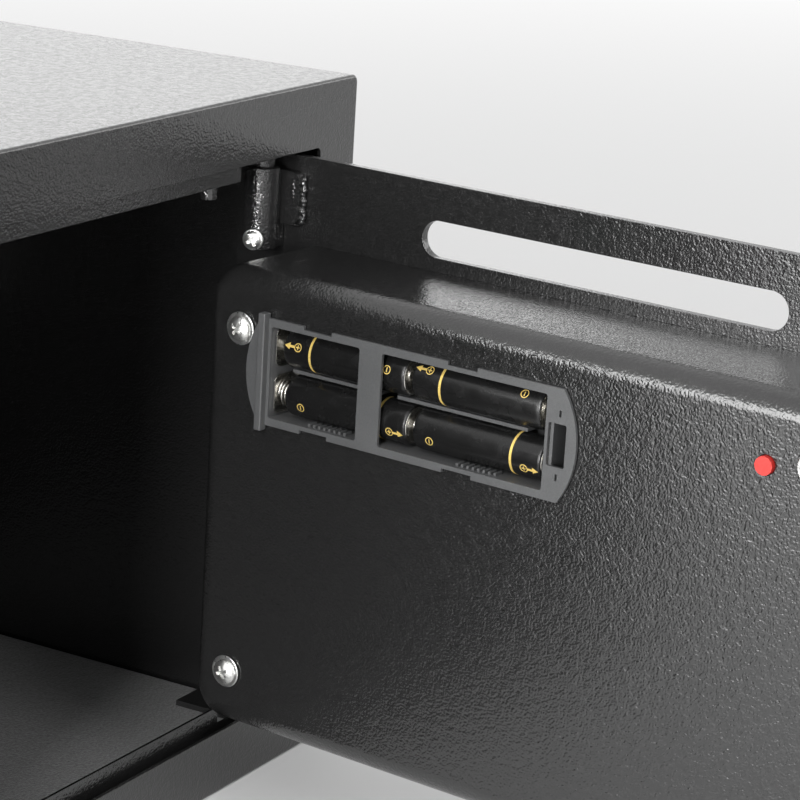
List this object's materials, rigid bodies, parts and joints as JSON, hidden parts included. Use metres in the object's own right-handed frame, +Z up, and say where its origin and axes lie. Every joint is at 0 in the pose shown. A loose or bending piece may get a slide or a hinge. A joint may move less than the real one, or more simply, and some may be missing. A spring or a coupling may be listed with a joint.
{
  "type": "keypad safe",
  "caption": "Steel box safe with a hinged keypad door, drop slot, knob-driven bolts and a battery holder on the door's inner cover.",
  "frame": {"origin": "middle of the body's underside", "axes": "+X to the right seen from the front, +Y to the back, +Z up; the door stands open by 83.8 degrees"},
  "size_m": [0.35, 0.5209, 0.25],
  "materials": {
    "powder_coat": "fine-textured black powder coat",
    "felt": "dark grey needle felt",
    "black_plastic": "satin moulded",
    "key_plastic": "satin moulded",
    "zinc": "bright zinc plating",
    "steel": "turned steel",
    "nickel": "nickel plating",
    "cell_label": "black shrink label with gold bands",
    "circuit_green": "solder mask",
    "indicator": "clear tinted",
    "copper": "enamelled winding",
    "red_plastic": "gloss",
    "brass": "turned"
  },
  "bodies": {
    "safe_body": {"body_wrap": "powder_coat", "back_panel": "powder_coat", "face_frame": "powder_coat", "stop_frame": "powder_coat", "hinge_pin_top": "steel", "hinge_pin_bottom": "steel", "floor_mat": "felt"},
    "door": {"door_plate": "powder_coat", "door_hinge_top": "powder_coat", "door_hinge_bottom": "powder_coat", "hinge_screw_top": "zinc", "hinge_screw_bottom": "zinc", "inner_cover": "powder_coat", "cover_screw_1": "zinc", "cover_screw_2": "zinc", "cover_screw_3": "zinc", "cover_screw_4": "zinc", "battery_tray": "black_plastic", "battery_cell_1": "cell_label", "battery_cell_2": "cell_label", "battery_cell_3": "cell_label", "battery_cell_4": "cell_label", "contact_plus": "nickel", "contact_minus": "nickel", "contact_bridge": "nickel", "keypad_housing": "black_plastic", "indicator_lens": "indicator", "circuit_board": "circuit_green", "shaft_bush": "brass", "bolt_guide": "zinc", "carriage_post": "steel", "solenoid_frame": "zinc", "solenoid_coil": "copper", "plunger_spring": "steel", "reset_switch": "black_plastic", "lock_body": "nickel", "lock_nut": "brass"},
    "knob": {"knob": "black_plastic", "cam_shaft": "steel"},
    "bolts": {"bolt_carriage": "zinc", "bolt_lower": "steel", "bolt_upper": "steel"},
    "plunger": {"solenoid_plunger": "steel"},
    "reset": {"reset_button": "red_plastic"},
    "lock": {"lock_plug": "nickel", "lock_cam": "zinc"},
    "cap": {"override_cap": "black_plastic"},
    "lid": {"battery_lid": "black_plastic"},
    "key_1": {"key_1": "key_plastic"},
    "key_2": {"key_2": "key_plastic"},
    "key_3": {"key_3": "key_plastic"},
    "key_4": {"key_4": "key_plastic"},
    "key_5": {"key_5": "key_plastic"},
    "key_6": {"key_6": "key_plastic"},
    "key_7": {"key_7": "key_plastic"},
    "key_8": {"key_8": "key_plastic"},
    "key_9": {"key_9": "key_plastic"},
    "key_clear": {"key_clear": "key_plastic"},
    "key_0": {"key_0": "key_plastic"},
    "key_enter": {"key_enter": "key_plastic"}
  },
  "joints": [
    {"name": "door_swing", "type": "hinge", "parent": "safe_body", "child": "door", "pos_m": [0.1334, -0.1128, 0.125], "axis": [0, 0, 1], "range_deg": [-83.8, 21.2]},
    {"name": "knob_turn", "type": "hinge", "parent": "door", "child": "knob", "pos_m": [0.14398, -0.19784, 0.115], "axis": [0.9942, -0.108, 0], "range_deg": [0, 90]},
    {"name": "bolt_throw", "type": "slide", "parent": "door", "child": "bolts", "axis": [-0.108, -0.9942, 0], "range_m": [0, 0.02]},
    {"name": "plunger_lift", "type": "slide", "parent": "door", "child": "plunger", "axis": [0, 0, 1], "range_m": [0, 0.004], "stiffness_N_per_m": 60, "springref_m": -0.008, "deforming": ["plunger_spring"]},
    {"name": "reset_press", "type": "slide", "parent": "door", "child": "reset", "axis": [0.9942, -0.108, 0], "range_m": [0, 0.0012], "stiffness_N_per_m": 300, "springref_m": -0.002},
    {"name": "lock_turn", "type": "hinge", "parent": "door", "child": "lock", "pos_m": [0.10854, -0.2463, 0.15], "axis": [-0.9942, 0.108, 0], "range_deg": [0, 90]},
    {"name": "cap_pull", "type": "slide", "parent": "door", "child": "cap", "axis": [0.9942, -0.108, 0], "range_m": [0, 0.02]},
    {"name": "lid_lift", "type": "slide", "parent": "safe_body", "child": "lid", "axis": [0, 0, 1], "range_m": [0, 0.05]},
    {"name": "key_1_press", "type": "slide", "parent": "door", "child": "key_1", "axis": [-0.9942, 0.108, 0], "range_m": [0, 0.0012], "stiffness_N_per_m": 300, "springref_m": -0.002},
    {"name": "key_2_press", "type": "slide", "parent": "door", "child": "key_2", "axis": [-0.9942, 0.108, 0], "range_m": [0, 0.0012], "stiffness_N_per_m": 300, "springref_m": -0.002},
    {"name": "key_3_press", "type": "slide", "parent": "door", "child": "key_3", "axis": [-0.9942, 0.108, 0], "range_m": [0, 0.0012], "stiffness_N_per_m": 300, "springref_m": -0.002},
    {"name": "key_4_press", "type": "slide", "parent": "door", "child": "key_4", "axis": [-0.9942, 0.108, 0], "range_m": [0, 0.0012], "stiffness_N_per_m": 300, "springref_m": -0.002},
    {"name": "key_5_press", "type": "slide", "parent": "door", "child": "key_5", "axis": [-0.9942, 0.108, 0], "range_m": [0, 0.0012], "stiffness_N_per_m": 300, "springref_m": -0.002},
    {"name": "key_6_press", "type": "slide", "parent": "door", "child": "key_6", "axis": [-0.9942, 0.108, 0], "range_m": [0, 0.0012], "stiffness_N_per_m": 300, "springref_m": -0.002},
    {"name": "key_7_press", "type": "slide", "parent": "door", "child": "key_7", "axis": [-0.9942, 0.108, 0], "range_m": [0, 0.0012], "stiffness_N_per_m": 300, "springref_m": -0.002},
    {"name": "key_8_press", "type": "slide", "parent": "door", "child": "key_8", "axis": [-0.9942, 0.108, 0], "range_m": [0, 0.0012], "stiffness_N_per_m": 300, "springref_m": -0.002},
    {"name": "key_9_press", "type": "slide", "parent": "door", "child": "key_9", "axis": [-0.9942, 0.108, 0], "range_m": [0, 0.0012], "stiffness_N_per_m": 300, "springref_m": -0.002},
    {"name": "key_clear_press", "type": "slide", "parent": "door", "child": "key_clear", "axis": [-0.9942, 0.108, 0], "range_m": [0, 0.0012], "stiffness_N_per_m": 300, "springref_m": -0.002},
    {"name": "key_0_press", "type": "slide", "parent": "door", "child": "key_0", "axis": [-0.9942, 0.108, 0], "range_m": [0, 0.0012], "stiffness_N_per_m": 300, "springref_m": -0.002},
    {"name": "key_enter_press", "type": "slide", "parent": "door", "child": "key_enter", "axis": [-0.9942, 0.108, 0], "range_m": [0, 0.0012], "stiffness_N_per_m": 300, "springref_m": -0.002}
  ],
  "couplings": [
    {"joint": "knob_turn", "follows": "bolt_throw", "rad_per_m": 78.54}
  ]
}
